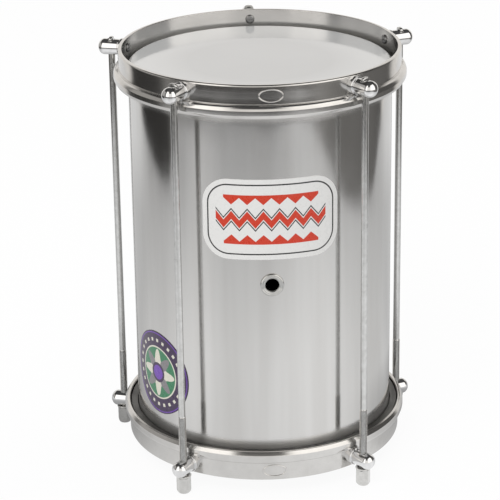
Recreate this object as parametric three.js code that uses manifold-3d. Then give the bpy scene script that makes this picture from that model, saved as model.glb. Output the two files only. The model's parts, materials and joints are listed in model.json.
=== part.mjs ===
// Repinique: a two-headed samba drum, an aluminium shell held between two counterhoops by five long rods.
// Millimetres, +Z up. The origin is the centre of the playing head's upper face, and the front faces -Y.
// An end of the drum is modelled once, with +Z pointing out of its head, and turned over for the bottom.

import * as THREE from 'three';
import { mergeVertices } from 'three/addons/utils/BufferGeometryUtils.js';
import Module from 'manifold-3d';

const wasm = await Module();
wasm.setup();

// Driving dimensions: the shell and its heads
const shellRadius = 101.6;
const shellLength = 292;
const shellWall = 1.2;
const bearingRadius = 3;
const bearingLip = 3.5;
const filmThickness = 0.3;
const rimRise = 12;

// Driving dimensions: the counterhoop's pressed section
const hoopStandOff = 7.2;
const hoopWall = 3;
const hoopHeight = 23.9;
const bandHeight = 15;
const rimRound = 1;
const shoulderThickness = 3;
const skirtStep = 3.9;
const skirtWall = 4.8;
const skirtRound = 3.3;
const skirtEdgeRound = 1;
const shoulderDrop = 1.7;

// Driving dimensions: the flesh hoop's channel and the film's collar
const collarSlopeDegrees = 35;
const collarTuck = 8.3;
const channelInnerWall = 0.8;
const channelWidth = 1.8;
const channelFloor = 0.6;
const fleshHoopHeight = 4.6;
const fleshHoopClearance = 0.7;

// Driving dimensions: lug posts, their screws and the rods
const rodCount = 5;
const rodStandOff = 10.2;
const postDrop = 8;
const postRadius = 6.3;
const postTipLength = 10.5;
const postDomeLength = 5.2;
const postCollarRadius = 6.95;
const postCollarThickness = 2.6;
const postCollarRound = 0.5;
const postNeckRadius = 5.9;
const postNeckLength = 1.1;
const screwShankRadius = 2.2;
const screwWeb = 1;
const screwHeadRadius = 3.7;
const screwHeadHeight = 2;
const crownShare = 0.7;
const screwSlotWidth = 1.1;
const screwSlotDepth = 1;
const shaftRadius = 2.65;
const threadRadius = 3;
const threadStart = 52;
const threadEndChamfer = 0.6;
const rodEndRecess = 3.6;
const headSlotDrop = 1.8;
const headWidth = 7;
const headThickness = 2.4;
const headRise = 2.5;
const headFlare = 1.2;
const headCorner = 0.9;
const headRoot = 2;

// Driving dimensions: tuning nuts and washers
const nutAcrossFlats = 10;
const nutLength = 13.3;
const nutEndRadius = 4.3;
const nutEndChamfer = 1.5;
const nutTopChamfer = 0.5;
const washerRadius = 6;
const washerThickness = 1.2;
const washerSeatDrop = 0.6;

// Driving dimensions: vent grommet, labels and hoop badge
const ventDrop = 157.7;
const ventBoreRadius = 4.8;
const ventTubeWall = 0.8;
const ventFlangeRadius = 9;
const ventFlangeThickness = 1.5;
const ventFlangeRound = 0.7;
const ventWasherRadius = 8.5;
const ventWasherThickness = 1;
const ventLipRadius = 7;
const ventLipThickness = 0.8;
const labelWidth = 105;
const labelHeight = 63;
const labelCorner = 20;
const labelDrop = 105.9;
const labelThickness = 0.25;
const stickerRadius = 34;
const stickerRise = 70.5;
const stickerAzimuth = -58;
const badgeWidth = 19;
const badgeHeight = 10.6;
const badgeRidge = 1.1;
const badgeRise = 0.5;

// Clearances: what seats on a piece lies off it by the seat gap, and a cut overruns what it cuts
const seatGap = 0.3;
const holeClearance = 0.3;
const cutOverrun = 2;

// Faceting
const ringSides = 40;
const postSides = 14;
const rodSides = 12;
const roundSides = 20;

// Distances from the drum's axis: the hoop stands off the shell, and the rods stand off the hoop
const hoopRadius = shellRadius + hoopStandOff;
const skirtRadius = hoopRadius + skirtStep;
const skirtInnerRadius = skirtRadius - skirtWall;
const rodCircleRadius = hoopRadius + rodStandOff;
const postReach = rodCircleRadius + postTipLength;
const bearingCentreRadius = shellRadius - bearingRadius;

// Levels in an end's own frame: zero is the head's outer face, and the rim stands above it
const headSpan = shellLength + 2 * (filmThickness + seatGap);
const rimLevel = rimRise;
const postLevel = rimLevel - postDrop;
const shoulderLevel = rimLevel - bandHeight;
const ledgeLevel = shoulderLevel - shoulderThickness;
const skirtLevel = rimLevel - hoopHeight;
const shellEdgeLevel = -(filmThickness + seatGap);
const bearingLevel = shellEdgeLevel - bearingRadius;
const shellMidLevel = -headSpan / 2;

// Levels in the drum's frame
const lowerRimLevel = -headSpan - rimRise;
const lowerPostLevel = lowerRimLevel + postDrop;
const washerSeatLevel = lowerPostLevel - postRadius + washerSeatDrop;
const washerTop = washerSeatLevel - seatGap;
const nutTop = washerTop - washerThickness - seatGap;
const nutBottom = nutTop - nutLength;

// Turns degrees into radians.
function radians(degrees) {
  return THREE.MathUtils.degToRad(degrees);
}

// Points of an arc in an outline, from one angle to another in even steps.
function arc(centreX, centreY, radius, fromDegrees, toDegrees, steps) {
  const points = [];
  for (let step = 0; step <= steps; step += 1) {
    const angle = radians(fromDegrees + ((toDegrees - fromDegrees) * step) / steps);
    points.push([centreX + radius * Math.cos(angle), centreY + radius * Math.sin(angle)]);
  }
  return points;
}

// Twice the signed area inside an outline: positive when it runs anticlockwise.
function signedArea(outline) {
  let sum = 0;
  outline.forEach(([x, y], index) => {
    const [nextX, nextY] = outline[(index + 1) % outline.length];
    sum += x * nextY - nextX * y;
  });
  return sum;
}

// A closed mesh as a solid: shared corners are merged and flat triangles left out.
function toSolid(geometry) {
  const bare = geometry.clone();
  bare.deleteAttribute('normal');
  bare.deleteAttribute('uv');
  const merged = mergeVertices(bare);
  const corners = merged.index.array;
  const kept = [];
  for (let start = 0; start < corners.length; start += 3) {
    const [a, b, c] = corners.slice(start, start + 3);
    if (a !== b && b !== c && c !== a) {
      kept.push(a, b, c);
    }
  }
  const mesh = new wasm.Mesh({
    numProp: 3,
    vertProperties: new Float32Array(merged.attributes.position.array),
    triVerts: new Uint32Array(kept),
  });
  mesh.merge();
  return new wasm.Manifold(mesh);
}

// A solid back as a geometry that a mesh can hold.
function toGeometry(solid) {
  const mesh = solid.getMesh();
  const geometry = new THREE.BufferGeometry();
  geometry.setAttribute('position', new THREE.BufferAttribute(new Float32Array(mesh.vertProperties), 3));
  geometry.setIndex(new THREE.BufferAttribute(new Uint32Array(mesh.triVerts), 1));
  geometry.computeVertexNormals();
  return geometry;
}

// A profile of [radius, along] points spun about the vertical; a profile off the axis closes on itself.
function spun(profile, sides) {
  const ordered = signedArea(profile) > 0 ? profile : [...profile].reverse();
  const points = ordered.map(([radius, along]) => new THREE.Vector2(radius, along));
  const meetsAxis = ordered.some(([radius]) => radius === 0);
  if (!meetsAxis) {
    points.push(points[0].clone());
  }
  return new THREE.LatheGeometry(points, sides);
}

// A spun solid whose axis is the drum's own: [radius, height].
function spinUp(profile, sides) {
  return toSolid(spun(profile, sides).rotateX(Math.PI / 2));
}

// A spun solid whose axis points out of the front at a height: [radius, distance from the drum's axis].
function spinOut(profile, sides, level) {
  return toSolid(spun(profile, sides).rotateX(Math.PI).translate(0, 0, level));
}

// A bar about the drum's axis between two heights.
function uprightBar(radius, bottom, top, sides) {
  return spinUp([[0, bottom], [radius, bottom], [radius, top], [0, top]], sides);
}

// A bar that points out of the front, between two distances from the drum's axis.
function outwardBar(radius, near, far, sides, level) {
  return spinOut([[0, near], [radius, near], [radius, far], [0, far]], sides, level);
}

// A rectangular block between two corners.
function block(low, high) {
  const size = high.map((value, axis) => value - low[axis]);
  const geometry = new THREE.BoxGeometry(size[0], size[1], size[2]);
  geometry.translate(low[0] + size[0] / 2, low[1] + size[1] / 2, low[2] + size[2] / 2);
  return toSolid(geometry);
}

// An outline of [across, up] points drawn on the front, as a plate between two distances from the axis.
function frontPlate(outline, near, far) {
  const ordered = signedArea(outline) > 0 ? outline : [...outline].reverse();
  const shape = new THREE.Shape(ordered.map(([across, up]) => new THREE.Vector2(across, up)));
  const geometry = new THREE.ExtrudeGeometry(shape, { depth: far - near, bevelEnabled: false });
  geometry.rotateX(Math.PI / 2);
  geometry.translate(0, -near, 0);
  return toSolid(geometry);
}

// A solid moved from the drum's axis out to the rod circle, at the front.
function toRodCircle(solid) {
  return solid.translate([0, -rodCircleRadius, 0]);
}

// Shell: a tube whose two edges are rolled inwards to carry the heads
function shellSolid() {
  const innerRadius = shellRadius - shellWall;
  const lipRadius = bearingCentreRadius - bearingLip;
  const lipFace = shellEdgeLevel - shellWall;
  const outerRoll = arc(bearingCentreRadius, bearingLevel, bearingRadius, 0, 90, 3);
  const innerRoll = arc(bearingCentreRadius, bearingLevel, bearingRadius - shellWall, 90, 0, 1);
  const upperEdge = [...outerRoll, [lipRadius, shellEdgeLevel], [lipRadius, lipFace], ...innerRoll];
  const lowerEdge = upperEdge.map(([radius, height]) => [radius, 2 * shellMidLevel - height]).reverse();
  const tube = spinUp([...upperEdge, ...lowerEdge], ringSides);
  const holeRadius = ventBoreRadius + ventTubeWall + holeClearance;
  const near = innerRadius - cutOverrun;
  const hole = outwardBar(holeRadius, near, shellRadius + cutOverrun, roundSides, ventLevel());
  return tube.subtract(hole);
}

// Height of the vent's centre in the drum's frame.
function ventLevel() {
  return rimLevel - ventDrop;
}

// Head film: a flat disc, rolled over the bearing edge, its collar tucked into the flesh hoop's channel
function filmSolid() {
  const innerRoll = bearingRadius + seatGap;
  const outerRoll = innerRoll + filmThickness;
  const slope = radians(collarSlopeDegrees);
  const tuckRadius = channelRadius() + (channelWidth - filmThickness) / 2;
  const face = (rollRadius, endRadius) => {
    const bend = arc(bearingCentreRadius, bearingLevel, rollRadius, 90, collarSlopeDegrees, 2);
    const [leaveRadius, leaveHeight] = bend[bend.length - 1];
    const run = (endRadius - leaveRadius) / Math.sin(slope);
    return [...bend, [endRadius, leaveHeight - run * Math.cos(slope)], [endRadius, -collarTuck]];
  };
  const innerFace = face(innerRoll, tuckRadius);
  const outerFace = face(outerRoll, tuckRadius + filmThickness).reverse();
  return spinUp([[0, -filmThickness], ...innerFace, ...outerFace, [0, 0]], ringSides);
}

// Radius of the inner wall of the channel that takes the film's collar.
function channelRadius() {
  return shellRadius + fleshHoopClearance + channelInnerWall;
}

// Flesh hoop: a ring under the counterhoop's ledge, with a channel round it for the film's collar
function fleshHoopSolid() {
  const top = ledgeLevel - seatGap;
  const bottom = top - fleshHoopHeight;
  const inner = shellRadius + fleshHoopClearance;
  const outer = skirtInnerRadius - seatGap;
  const slotInner = channelRadius();
  const slotOuter = slotInner + channelWidth;
  const slotBottom = bottom + channelFloor;
  return spinUp([
    [inner, bottom],
    [outer, bottom],
    [outer, top],
    [slotOuter, top],
    [slotOuter, slotBottom],
    [slotInner, slotBottom],
    [slotInner, top],
    [inner, top],
  ], ringSides);
}

// Counterhoop: a straight band, a shoulder that rounds out over the flesh hoop, and a thick skirt
function hoopSolid() {
  const bandInner = hoopRadius - hoopWall;
  const roundLevel = shoulderLevel - shoulderDrop - skirtRound;
  const outside = [
    [skirtInnerRadius, skirtLevel],
    ...arc(skirtRadius - skirtEdgeRound, skirtLevel + skirtEdgeRound, skirtEdgeRound, -90, 0, 1),
    ...arc(skirtRadius - skirtRound, roundLevel, skirtRound, 0, 90, 3),
    [hoopRadius, shoulderLevel],
    ...arc(hoopRadius - rimRound, rimLevel - rimRound, rimRound, 0, 90, 1),
    ...arc(bandInner + rimRound, rimLevel - rimRound, rimRound, 90, 180, 1),
    [bandInner, ledgeLevel],
    [skirtInnerRadius, ledgeLevel],
  ];
  const ring = spinUp(outside, ringSides).add(badgeSolid());
  const near = bandInner - cutOverrun;
  const far = hoopRadius + cutOverrun;
  const hole = outwardBar(screwShankRadius + holeClearance, near, far, rodSides, postLevel);
  return rodAzimuths().reduce((hoop, azimuth) => hoop.subtract(hole.rotate([0, 0, azimuth])), ring);
}

// Badge: a plain raised oval on the band's front
function badgeSolid() {
  const oval = (halfWidth, halfHeight) => {
    const points = arc(0, 0, 1, 0, 360, roundSides).slice(1);
    return points.map(([x, y]) => [halfWidth * x, postLevel + halfHeight * y]);
  };
  const near = hoopRadius - hoopWall;
  const far = hoopRadius + hoopWall;
  const rim = frontPlate(oval(badgeWidth / 2, badgeHeight / 2), near, far);
  const field = frontPlate(oval(badgeWidth / 2 - badgeRidge, badgeHeight / 2 - badgeRidge), near, far);
  const skin = spinUp([
    [hoopRadius - hoopWall / 2, shoulderLevel],
    [hoopRadius + badgeRise, shoulderLevel],
    [hoopRadius + badgeRise, rimLevel],
    [hoopRadius - hoopWall / 2, rimLevel],
  ], ringSides);
  return rim.subtract(field).intersect(skin);
}

// Azimuths of the rods in degrees from the front, turning towards +X; the front lies between two of them.
function rodAzimuths() {
  const spacing = 360 / rodCount;
  return Array.from({ length: rodCount }, (_, index) => (index - 1 / 2) * spacing);
}

// Lug post: a round bar with a collar at its foot and a domed end; the rod's hole crosses it
function postSolid(holeRadius) {
  const foot = hoopRadius - hoopWall;
  const collarFace = hoopRadius + postCollarThickness;
  const neckEnd = collarFace + postNeckLength;
  const domeStart = postReach - postDomeLength;
  const dome = arc(0, 0, 1, 0, 90, 3).map(([x, y]) => [postRadius * x, domeStart + postDomeLength * y]);
  dome[dome.length - 1][0] = 0;
  const bar = spinOut([
    [0, foot],
    [postCollarRadius, foot],
    [postCollarRadius, collarFace - postCollarRound],
    [postCollarRadius - postCollarRound, collarFace],
    [postNeckRadius, collarFace],
    [postNeckRadius, neckEnd],
    [postRadius, neckEnd + postRadius - postNeckRadius],
    ...dome,
  ], postSides, postLevel);
  const cutBottom = shoulderLevel - cutOverrun;
  const cutTop = rimLevel + cutOverrun;
  const seat = uprightBar(hoopRadius + seatGap, cutBottom, cutTop, ringSides);
  const crossHole = uprightBar(holeRadius, cutBottom, cutTop, rodSides);
  const tapEnd = screwEndRadius() + holeClearance;
  const tapHole = outwardBar(screwShankRadius + holeClearance, foot, tapEnd, rodSides, postLevel);
  return bar.subtract(seat).subtract(toRodCircle(crossHole)).subtract(tapHole);
}

// Distance of a screw's tip from the drum's axis: a web of metal is left before the rod's hole.
function screwEndRadius() {
  return rodCircleRadius - threadRadius - screwWeb - 2 * holeClearance;
}

// Level of the floor of the slot that seats a rod's head, in the end's frame.
function headSlotLevel() {
  return postLevel + postRadius - headSlotDrop;
}

// Upper post: a slot across its upper side seats the rod's flattened head
function upperPostSolid() {
  const halfSlot = headThickness / 2 + holeClearance;
  const slot = block(
    [-postRadius - cutOverrun, -halfSlot, headSlotLevel()],
    [postRadius + cutOverrun, halfSlot, rimLevel + cutOverrun],
  );
  return postSolid(shaftRadius + holeClearance).subtract(toRodCircle(slot));
}

// Lower post: a flat on its outer side seats the washer
function lowerPostSolid() {
  const seatHalf = washerRadius + seatGap;
  const seatLevel = postLevel + postRadius - washerSeatDrop;
  const flat = uprightBar(seatHalf, seatLevel, rimLevel + cutOverrun, roundSides);
  return postSolid(threadRadius + holeClearance).subtract(toRodCircle(flat));
}

// Post screw: its head bears inside the band and its shank runs into the post
function screwSolid() {
  const seat = hoopRadius - hoopWall - seatGap;
  const edge = seat - screwHeadHeight / 2;
  const crown = seat - screwHeadHeight;
  const screw = spinOut([
    [0, crown],
    [screwHeadRadius * crownShare, crown],
    [screwHeadRadius, edge],
    [screwHeadRadius, seat],
    [screwShankRadius, seat],
    [screwShankRadius, screwEndRadius()],
    [0, screwEndRadius()],
  ], rodSides, postLevel);
  const slot = block(
    [-screwHeadRadius - cutOverrun, -crown - screwSlotDepth, postLevel - screwSlotWidth / 2],
    [screwHeadRadius + cutOverrun, -crown + cutOverrun, postLevel + screwSlotWidth / 2],
  );
  return screw.subtract(slot);
}

// Tension rod: threaded at its lower end and struck flat at its upper end
function rodSolid() {
  const bottom = nutBottom + rodEndRecess;
  const threadTop = lowerRimLevel + threadStart;
  const slotLevel = headSlotLevel();
  const shaftTop = slotLevel - seatGap;
  const shaft = spinUp([
    [0, bottom],
    [threadRadius - threadEndChamfer, bottom],
    [threadRadius, bottom + threadEndChamfer],
    [threadRadius, threadTop],
    [shaftRadius, threadTop + 2 * (threadRadius - shaftRadius)],
    [shaftRadius, shaftTop],
    [0, shaftTop],
  ], rodSides);
  const rootHalf = shaftRadius - seatGap;
  const headHalf = headWidth / 2;
  const headTop = postLevel + postRadius + headRise;
  const shoulder = slotLevel + seatGap;
  const rightSide = [
    [rootHalf, shaftTop - headRoot],
    [rootHalf, shoulder],
    [headHalf, shoulder + headFlare],
    [headHalf, headTop - headCorner],
    [headHalf - headCorner, headTop],
  ];
  const leftSide = rightSide.map(([across, up]) => [-across, up]).reverse();
  const head = frontPlate([...rightSide, ...leftSide], -headThickness / 2, headThickness / 2);
  return toRodCircle(shaft.add(head));
}

// Tuning nut: a long hexagon, open through, its lower end rounded off
function nutSolid() {
  const cornerRadius = nutAcrossFlats / 2 / Math.cos(Math.PI / 6);
  const hexagon = uprightBar(cornerRadius, nutBottom, nutTop, 6);
  const chamfers = spinUp([
    [0, nutBottom],
    [nutEndRadius, nutBottom],
    [cornerRadius, nutBottom + nutEndChamfer],
    [cornerRadius, nutTop - nutTopChamfer / 2],
    [nutAcrossFlats / 2 - nutTopChamfer / 2, nutTop],
    [0, nutTop],
  ], roundSides);
  const boreRadius = threadRadius + holeClearance;
  const bore = uprightBar(boreRadius, nutBottom - cutOverrun, nutTop + cutOverrun, rodSides);
  return toRodCircle(hexagon.intersect(chamfers).subtract(bore));
}

// Washer between the nut and the flat of the lower post
function washerSolid() {
  const holeRadius = threadRadius + holeClearance;
  const low = washerTop - washerThickness;
  return toRodCircle(spinUp([
    [holeRadius, low],
    [washerRadius, low],
    [washerRadius, washerTop],
    [holeRadius, washerTop],
  ], rodSides));
}

// Vent grommet: a flange on the shell, a tube through it, and the lip that clinches the washer inside
function grommetSolid() {
  const tubeRadius = ventBoreRadius + ventTubeWall;
  const face = shellRadius + seatGap + ventFlangeThickness;
  const lipFar = ventWasherNear() - seatGap;
  const lipNear = lipFar - ventLipThickness;
  const flange = spinOut([
    [ventBoreRadius + ventFlangeRound, face],
    [ventFlangeRadius - ventFlangeRound, face],
    [ventFlangeRadius, face - ventFlangeRound],
    [ventFlangeRadius, shellRadius - cutOverrun],
    [ventBoreRadius, shellRadius - cutOverrun],
    [ventBoreRadius, face - ventFlangeRound],
  ], roundSides, ventLevel());
  const seatTop = ventLevel() + ventFlangeRadius + cutOverrun;
  const seatBottom = ventLevel() - ventFlangeRadius - cutOverrun;
  const seat = uprightBar(shellRadius + seatGap, seatBottom, seatTop, ringSides);
  const tube = spinOut([
    [ventBoreRadius, lipNear],
    [ventLipRadius, lipNear],
    [ventLipRadius, lipFar],
    [tubeRadius, lipFar],
    [tubeRadius, face - ventFlangeRound],
    [ventBoreRadius, face - ventFlangeRound],
  ], roundSides, ventLevel());
  return flange.subtract(seat).add(tube);
}

// Distance of the clinch washer's inner face from the drum's axis: its rim just clears the curved wall.
function ventWasherNear() {
  const innerRadius = shellRadius - shellWall;
  return Math.sqrt(innerRadius ** 2 - ventWasherRadius ** 2) - 2 * seatGap - ventWasherThickness;
}

// Clinch washer inside the shell
function ventWasherSolid() {
  const holeRadius = ventBoreRadius + ventTubeWall + holeClearance;
  const near = ventWasherNear();
  const far = near + ventWasherThickness;
  const ring = [[holeRadius, near], [ventWasherRadius, near], [ventWasherRadius, far], [holeRadius, far]];
  return spinOut(ring, roundSides, ventLevel());
}

// A thin label that follows the shell's facets: its outline is laid round the wall about an azimuth
function wrappedLabel(outline, level, azimuth) {
  const inner = shellRadius + seatGap;
  const outer = inner + labelThickness;
  const laid = outline.map(([across, up]) => [inner * Math.sin(across / inner), level + up]);
  const reach = Math.max(...outline.map(([, up]) => Math.abs(up))) + cutOverrun;
  const skin = spinUp([
    [inner, level - reach],
    [outer, level - reach],
    [outer, level + reach],
    [inner, level + reach],
  ], ringSides);
  return frontPlate(laid, inner / 2, outer + cutOverrun).rotate([0, 0, azimuth]).intersect(skin);
}

// Front label: a rectangle with well rounded corners
function frontLabelSolid() {
  const x = labelWidth / 2 - labelCorner;
  const y = labelHeight / 2 - labelCorner;
  const outline = [
    ...arc(x, y, labelCorner, 0, 90, 5),
    ...arc(-x, y, labelCorner, 90, 180, 5),
    ...arc(-x, -y, labelCorner, 180, 270, 5),
    ...arc(x, -y, labelCorner, 270, 360, 5),
  ];
  return wrappedLabel(outline, rimLevel - labelDrop, 0);
}

// Round sticker on the left of the shell
function sideStickerSolid() {
  const outline = arc(0, 0, stickerRadius, 0, 360, roundSides).slice(1);
  return wrappedLabel(outline, lowerRimLevel + stickerRise, stickerAzimuth);
}

// Finishes
const finishes = {
  shell: { color: 0xc9c8c5, roughness: 0.28, metalness: 1 },
  hoop: { color: 0xcfcecb, roughness: 0.24, metalness: 1 },
  ring: { color: 0x9c9b97, roughness: 0.5, metalness: 0.9 },
  chrome: { color: 0xe2e2e2, roughness: 0.12, metalness: 1 },
  rod: { color: 0xb4b4b2, roughness: 0.3, metalness: 1 },
  film: { color: 0xdad9d6, roughness: 0.35, metalness: 0 },
  label: { color: 0xf2efe9, roughness: 0.45, metalness: 0 },
  sticker: { color: 0x4a2f5c, roughness: 0.45, metalness: 0 },
};

// Adds one named piece to a group.
function addPiece(group, name, solid, finish, azimuth = 0) {
  const material = new THREE.MeshStandardMaterial(finishes[finish]);
  const mesh = new THREE.Mesh(toGeometry(solid), material);
  mesh.name = name;
  mesh.rotation.z = radians(azimuth);
  group.add(mesh);
}

// One end of the drum, in its own frame; side is 1 for the top and -1 for the end that is turned over
function drumEnd(prefix, side, post) {
  const end = new THREE.Group();
  addPiece(end, `${prefix}_head_film`, filmSolid(), 'film');
  addPiece(end, `${prefix}_flesh_hoop`, fleshHoopSolid(), 'ring');
  addPiece(end, `${prefix}_hoop`, hoopSolid(), 'hoop');
  rodAzimuths().forEach((azimuth, index) => {
    addPiece(end, `${prefix}_post_${index + 1}`, post, 'chrome', side * azimuth);
    addPiece(end, `${prefix}_post_screw_${index + 1}`, screwSolid(), 'chrome', side * azimuth);
  });
  return end;
}

// The whole drum
function repinique() {
  const drum = new THREE.Group();
  addPiece(drum, 'shell', shellSolid(), 'shell');
  addPiece(drum, 'vent_grommet', grommetSolid(), 'chrome');
  addPiece(drum, 'vent_grommet_washer', ventWasherSolid(), 'ring');
  addPiece(drum, 'shell_label', frontLabelSolid(), 'label');
  addPiece(drum, 'side_sticker', sideStickerSolid(), 'sticker');
  drum.add(drumEnd('top', 1, upperPostSolid()));
  const bottomEnd = drumEnd('bottom', -1, lowerPostSolid());
  bottomEnd.rotation.y = Math.PI;
  bottomEnd.position.z = -headSpan;
  drum.add(bottomEnd);
  rodAzimuths().forEach((azimuth, index) => {
    addPiece(drum, `tension_rod_${index + 1}`, rodSolid(), 'rod', azimuth);
    addPiece(drum, `nut_washer_${index + 1}`, washerSolid(), 'chrome', azimuth);
    addPiece(drum, `tuning_nut_${index + 1}`, nutSolid(), 'chrome', azimuth);
  });
  return drum;
}

export default repinique();
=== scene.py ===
"""The looks of the repinique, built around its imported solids.

Lengths are metres in the solids' own frame: the origin is the centre of the playing head's upper
face, +Z points up out of it, and the front of the drum, with its label and vent, faces -Y.
"""

import json
import logging
import math
from collections.abc import Callable
from dataclasses import dataclass
from enum import Enum

import bmesh
import bpy
from mathutils import Matrix, Vector

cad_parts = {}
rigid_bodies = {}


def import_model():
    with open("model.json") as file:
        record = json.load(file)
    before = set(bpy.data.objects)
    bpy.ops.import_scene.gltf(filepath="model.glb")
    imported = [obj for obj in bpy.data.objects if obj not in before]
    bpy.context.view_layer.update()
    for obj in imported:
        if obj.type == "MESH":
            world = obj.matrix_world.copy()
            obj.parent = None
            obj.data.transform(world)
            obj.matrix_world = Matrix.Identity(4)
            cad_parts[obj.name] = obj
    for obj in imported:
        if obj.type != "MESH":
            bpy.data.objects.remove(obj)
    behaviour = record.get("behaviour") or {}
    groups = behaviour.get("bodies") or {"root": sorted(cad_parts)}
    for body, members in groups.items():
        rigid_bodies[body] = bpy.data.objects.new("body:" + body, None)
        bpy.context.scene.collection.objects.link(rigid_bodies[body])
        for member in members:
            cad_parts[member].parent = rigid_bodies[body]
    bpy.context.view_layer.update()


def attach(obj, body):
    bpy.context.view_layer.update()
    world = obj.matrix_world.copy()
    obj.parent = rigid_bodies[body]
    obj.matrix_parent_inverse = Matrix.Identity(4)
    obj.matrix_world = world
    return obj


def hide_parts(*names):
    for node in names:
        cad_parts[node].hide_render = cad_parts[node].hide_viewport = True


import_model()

MM = 0.001
MERGE = 0.5e-6
LOG = logging.getLogger("repinique")

Corner = tuple[float, float, float]
Spot = tuple[float, float]
Stops = tuple[Spot, ...]
Colour = tuple[float, float, float, float]

WHITE: Colour = (1, 1, 1, 1)


class End(Enum):
    """The two ends of the drum."""

    TOP = "top"
    BOTTOM = "bottom"


class Print(Enum):
    """The two printed pieces on the shell."""

    FRONT_LABEL = "front label"
    SIDE_STICKER = "side sticker"


@dataclass(frozen=True)
class DrumSizes:
    """Sizes that several sub-assemblies share, as the solids have them."""

    shell_radius: float = 101.6 * MM
    head_span: float = 293.2 * MM
    hoop_radius: float = 108.8 * MM
    skirt_radius: float = 112.7 * MM
    skirt_inner: float = 107.9 * MM
    rim_level: float = 12 * MM
    rod_circle: float = 119 * MM
    rod_count: int = 5
    post_level: float = 4 * MM
    vent_level: float = -145.7 * MM
    ring_sides: int = 240

    def azimuths(self) -> list[float]:
        """Azimuths of the rods in radians from the front, turning towards +X."""
        step = 2 * math.pi / self.rod_count
        return [(index - 0.5) * step for index in range(self.rod_count)]

    def placing(self, end: End, azimuth: float) -> Matrix:
        """Moves a piece drawn at the front of an end's own frame to its place on the drum.

        Args:
            end: The end that the piece belongs to.
            azimuth: Where it stands, in radians from the front.

        Returns:
            The matrix for the piece's mesh.
        """
        turned = Matrix.Rotation(azimuth, 4, "Z")
        if end is End.TOP:
            return turned
        over = Matrix.Rotation(math.pi, 4, "Y")
        return Matrix.Translation((0, 0, -self.head_span)) @ turned @ over

    def at_rod(self, azimuth: float) -> Matrix:
        """Moves a piece drawn on the drum's axis to the rod at an azimuth."""
        return Matrix.Rotation(azimuth, 4, "Z") @ Matrix.Translation((0, -self.rod_circle, 0))


SIZES = DrumSizes()


def rounded(corners: list[Corner], steps: int = 5) -> list[Spot]:
    """Rounds the corners of a closed outline.

    Args:
        corners: Each corner's two coordinates and the radius of its round.
        steps: How many straight steps make up one round.

    Returns:
        The outline's points.
    """
    outline: list[Spot] = []
    for index, (x, y, radius) in enumerate(corners):
        here = Vector((x, y))
        back = Vector(corners[index - 1][:2]) - here
        ahead = Vector(corners[(index + 1) % len(corners)][:2]) - here
        if radius == 0 or back.length == 0 or ahead.length == 0:
            outline.append((x, y))
            continue
        half = back.angle(ahead) / 2
        reach = min(radius / math.tan(half), 0.49 * back.length, 0.49 * ahead.length)
        first = here + back.normalized() * reach
        last = here + ahead.normalized() * reach
        for step in range(steps + 1):
            share = step / steps
            low = first.lerp(here, share)
            high = here.lerp(last, share)
            outline.append(tuple(low.lerp(high, share)))
    return outline


def stepped(outline: list[Spot], longest: float) -> list[Spot]:
    """Adds points to a closed outline so that no run is longer than a given length.

    Args:
        outline: The outline's points.
        longest: The longest run that is left whole.

    Returns:
        The outline with the added points.
    """
    result: list[Spot] = []
    for index, point in enumerate(outline):
        start = Vector(point)
        run = Vector(outline[(index + 1) % len(outline)]) - start
        pieces = max(1, math.ceil(run.length / longest))
        result += [tuple(start + run * (piece / pieces)) for piece in range(pieces)]
    return result


def soften(mesh: bpy.types.Mesh, sharp_degrees: float = 35) -> None:
    """Shades a mesh smooth except across its sharp edges.

    Args:
        mesh: The mesh to shade.
        sharp_degrees: The angle between faces from which an edge stays sharp.
    """
    mesh.shade_smooth()
    mesh.set_sharp_from_angle(angle=math.radians(sharp_degrees))


class Draft:
    """Points and faces collected for one mesh."""

    def __init__(self) -> None:
        """Starts with nothing drawn."""
        self.points: list[Vector] = []
        self.faces: list[tuple[int, ...]] = []

    def grid(self, rows: list[list[Vector]], close_rows: bool, close_columns: bool) -> "Draft":
        """Joins rows of points by four-sided faces.

        Args:
            rows: The rows, all of one length.
            close_rows: Whether the last row joins the first one.
            close_columns: Whether each row's last point joins its first one.

        Returns:
            This draft.
        """
        start = len(self.points)
        width = len(rows[0])
        for row in rows:
            self.points += row
        for row in range(len(rows) if close_rows else len(rows) - 1):
            below = start + row * width
            above = start + ((row + 1) % len(rows)) * width
            for column in range(width if close_columns else width - 1):
                beside = (column + 1) % width
                self.faces.append((below + column, below + beside, above + beside, above + column))
        return self

    def spin(
        self, outline: list[Spot], sides: int, limit: Callable[[float], float] | None = None
    ) -> "Draft":
        """Spins a closed outline about Z.

        Args:
            outline: Points of radius and height.
            sides: How many steps make up a turn.
            limit: Gives the largest radius at an angle, for a shape that isn't round.

        Returns:
            This draft.
        """
        rows = []
        for radius, height in outline:
            row = []
            for side in range(sides):
                angle = 2 * math.pi * side / sides
                reach = min(radius, limit(angle)) if limit else radius
                row.append(Vector((reach * math.cos(angle), reach * math.sin(angle), height)))
            rows.append(row)
        return self.grid(rows, True, True)

    def make(self, name: str, sharp_degrees: float = 35) -> bpy.types.Mesh:
        """Turns the draft into a mesh.

        Args:
            name: The mesh's name.
            sharp_degrees: The angle from which an edge stays sharp.

        Returns:
            The mesh, with its faces turned outwards.
        """
        mesh = bpy.data.meshes.new(name)
        mesh.from_pydata(self.points, [], self.faces)
        work = bmesh.new()
        work.from_mesh(mesh)
        bmesh.ops.remove_doubles(work, verts=work.verts, dist=MERGE)
        bmesh.ops.recalc_face_normals(work, faces=work.faces)
        work.to_mesh(mesh)
        work.free()
        soften(mesh, sharp_degrees)
        return mesh


OUTWARD = Matrix.Rotation(math.pi / 2, 4, "X")


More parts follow.
